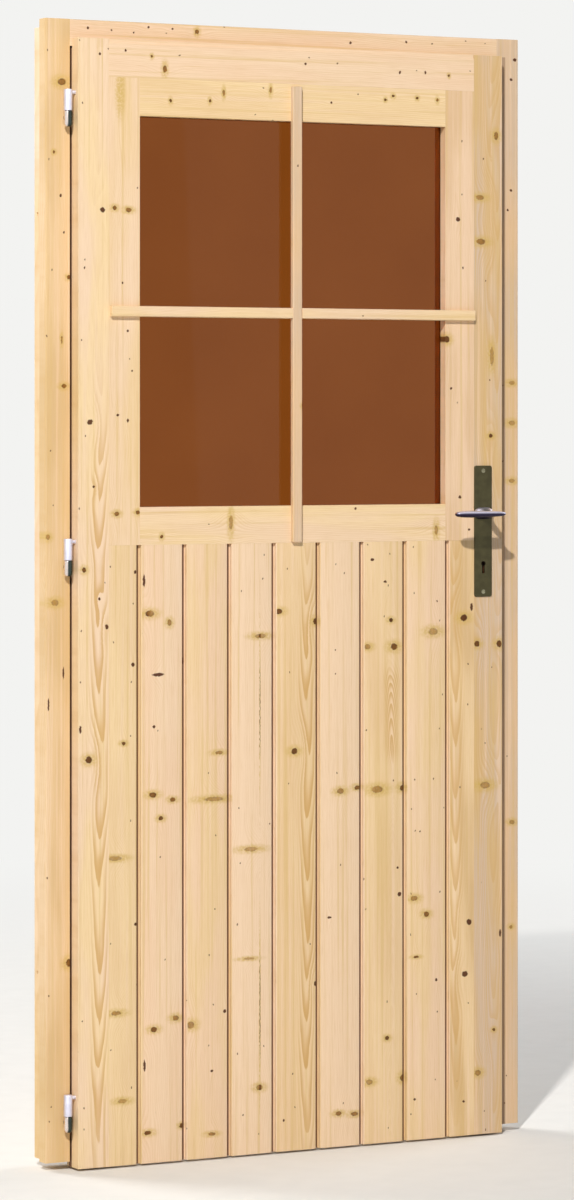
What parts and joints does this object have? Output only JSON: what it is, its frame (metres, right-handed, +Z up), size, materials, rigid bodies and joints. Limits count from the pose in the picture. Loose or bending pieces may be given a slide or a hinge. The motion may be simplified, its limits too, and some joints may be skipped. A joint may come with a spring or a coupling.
{
  "type": "half-glazed boarded door with frame",
  "caption": "Side-hung, outward-opening wooden garden-house door in its frame: upright boards below, a tinted pane with crossed glazing bars above, lever handle and lock.",
  "frame": {"origin": "middle of the threshold's underside, in the plane of the wall's outer face", "axes": "+X to the right as seen from outside, -Y outwards, +Z up"},
  "size_m": [0.94, 0.1862, 1.96],
  "materials": {
    "frame_pine": "planed, untreated pine",
    "leaf_pine": "planed, untreated pine",
    "tinted_glass": "bronze tint, smooth",
    "hinge_zinc": "bright zinc plate",
    "handle_plate_bronze": "satin olive bronze",
    "lever_aluminium": "satin",
    "screw_steel": "bright",
    "lock_steel": "zinc plate"
  },
  "bodies": {
    "frame": {"left_casing": "frame_pine", "right_casing": "frame_pine", "head_casing": "frame_pine", "left_jamb": "frame_pine", "right_jamb": "frame_pine", "head_jamb": "frame_pine", "left_stop": "frame_pine", "right_stop": "frame_pine", "head_stop": "frame_pine", "threshold": "frame_pine", "strike_plate": "lock_steel", "strike_screws": "screw_steel", "lower_hinge_frame_half": "hinge_zinc", "middle_hinge_frame_half": "hinge_zinc", "upper_hinge_frame_half": "hinge_zinc"},
    "leaf": {"board_1": "leaf_pine", "board_2": "leaf_pine", "board_3": "leaf_pine", "board_4": "leaf_pine", "board_5": "leaf_pine", "board_6": "leaf_pine", "board_7": "leaf_pine", "board_8": "leaf_pine", "board_9": "leaf_pine", "bottom_bead": "leaf_pine", "bottom_ledge": "leaf_pine", "cross_bar": "leaf_pine", "faceplate_screws": "screw_steel", "glass_pane": "tinted_glass", "inner_handle_plate": "handle_plate_bronze", "left_bead": "leaf_pine", "left_stile": "leaf_pine", "lock_case": "lock_steel", "lock_faceplate": "lock_steel", "lower_hinge_leaf_half": "hinge_zinc", "middle_hinge_leaf_half": "hinge_zinc", "middle_ledge": "leaf_pine", "outer_handle_plate": "handle_plate_bronze", "plate_screws": "screw_steel", "right_bead": "leaf_pine", "right_stile": "leaf_pine", "top_bead": "leaf_pine", "top_ledge": "leaf_pine", "top_rail": "leaf_pine", "upper_hinge_leaf_half": "hinge_zinc", "upright_bar": "leaf_pine", "window_bottom_rail": "leaf_pine", "window_left_side": "leaf_pine", "window_right_side": "leaf_pine", "window_top_rail": "leaf_pine"},
    "lever_set": {"outer_lever": "lever_aluminium", "inner_lever": "lever_aluminium", "spindle": "lock_steel", "lock_follower": "lock_steel"},
    "latch": {"latch_bolt": "lock_steel"},
    "dead_bolt": {"dead_bolt": "lock_steel"}
  },
  "joints": [
    {"name": "leaf_swing", "type": "hinge", "parent": "frame", "child": "leaf", "pos_m": [-0.4331, -0.0365, 0.95], "axis": [0, 0, -1], "range_deg": [0, 170]},
    {"name": "lever_turn", "type": "hinge", "parent": "leaf", "child": "lever_set", "pos_m": [0.38, -0.027, 1.099], "axis": [0, -1, 0], "range_deg": [0, 40], "stiffness_Nm_per_rad": 1.2, "springref_deg": -22.92},
    {"name": "latch_slide", "type": "slide", "parent": "leaf", "child": "latch", "axis": [-1, 0, 0], "range_m": [0, 0.0094]},
    {"name": "dead_bolt_slide", "type": "slide", "parent": "leaf", "child": "dead_bolt", "axis": [1, 0, 0], "range_m": [0, 0.014]}
  ],
  "couplings": [
    {"joint": "latch_slide", "follows": "lever_turn", "m_per_rad": 0.01346}
  ]
}
